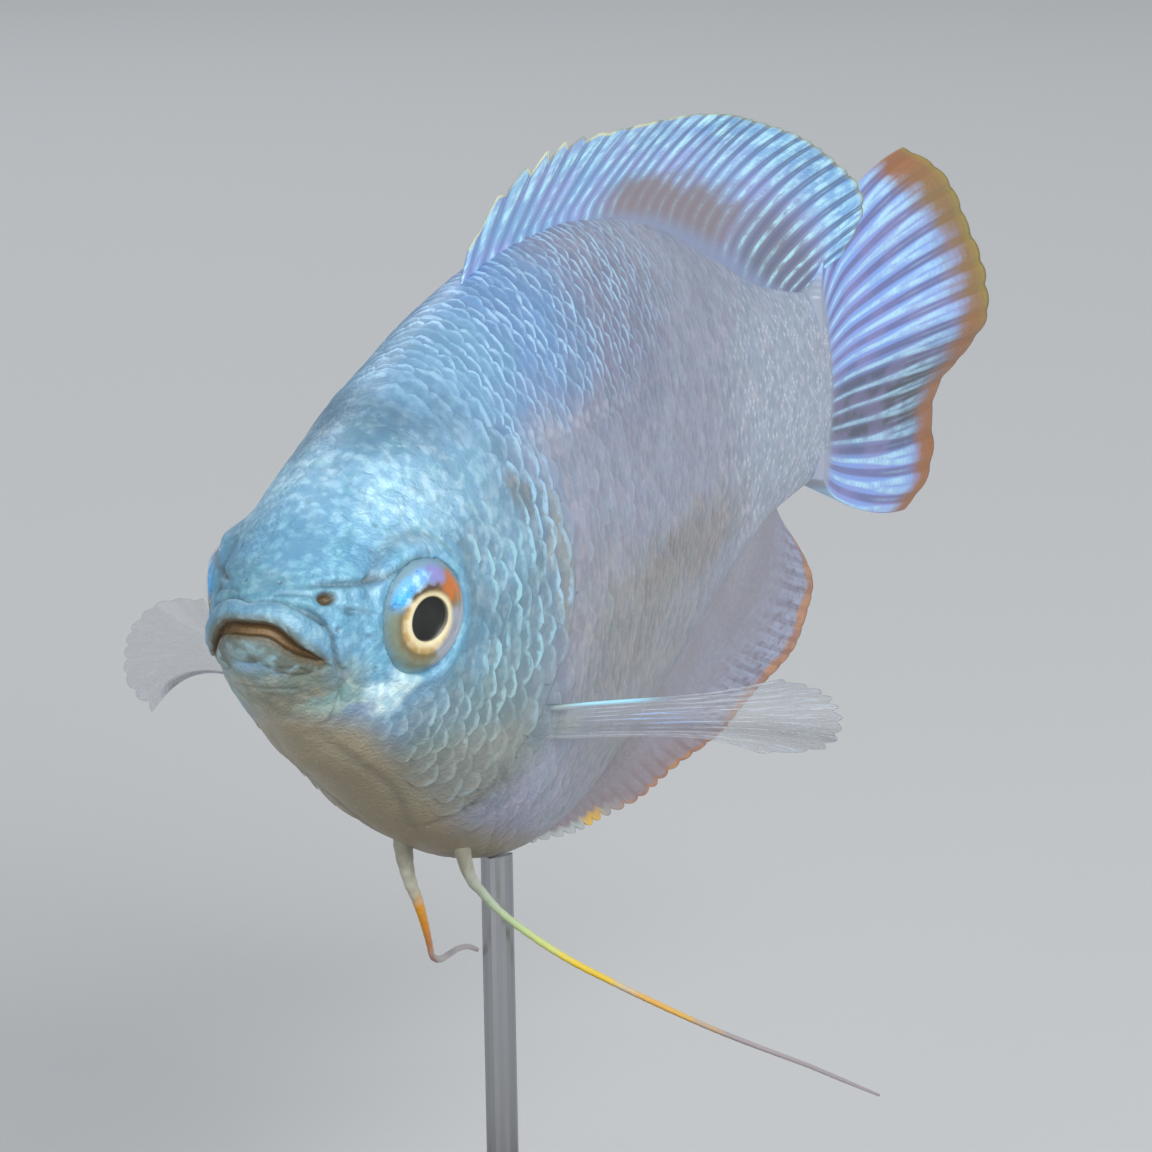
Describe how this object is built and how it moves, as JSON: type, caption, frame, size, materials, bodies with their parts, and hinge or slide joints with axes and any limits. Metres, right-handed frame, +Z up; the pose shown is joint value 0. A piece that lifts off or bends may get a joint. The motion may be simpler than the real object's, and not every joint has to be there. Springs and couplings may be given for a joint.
{
  "type": "dwarf gourami model on a display stand",
  "caption": "Life-size still model of a small deep-bodied labyrinth fish, turned head-on, with long fins and two thread-like feelers, held over a round base by a rod.",
  "frame": {"origin": "centre of the underside of the round base, on the axis of the rod", "axes": "+Z up, -X towards the fish's snout, +X towards its tail, -Y towards its left flank"},
  "size_m": [0.0683, 0.044, 0.0494],
  "materials": {
    "skin": "wet-looking scaled skin, pale turquoise on the head, lavender grey with light blue scale edges on the flank, olive beige on the belly",
    "dorsal_fin": "satin membrane in light blue and violet with paler rays and a yellow olive margin",
    "anal_fin": "satin lavender membrane with an orange margin",
    "caudal_fin": "satin lavender membrane with pale blue rays and a wide orange margin",
    "pectoral_fins": "clear membrane with pale rays",
    "feelers": "satin, whitish at the root, then yellow and orange, with a pinkish grey tip",
    "eyes": "high gloss, black pupil with a pale gold ring, blue above and olive brown below",
    "stand_wood": "turned dark hardwood, satin varnish",
    "stand_steel": "polished"
  },
  "bodies": {
    "root": {"head": "skin", "lower_jaw": "skin", "gill_cover_left": "skin", "gill_cover_right": "skin", "trunk": "skin", "tail_stalk": "skin", "dorsal_fin": "dorsal_fin", "anal_fin": "anal_fin", "caudal_fin": "caudal_fin", "pectoral_fin_left": "pectoral_fins", "pectoral_fin_right": "pectoral_fins", "pelvic_feeler_left": "feelers", "pelvic_feeler_right": "feelers", "eye_left": "eyes", "eye_right": "eyes", "stand_base": "stand_wood", "stand_rod": "stand_steel"}
  },
  "joints": []
}
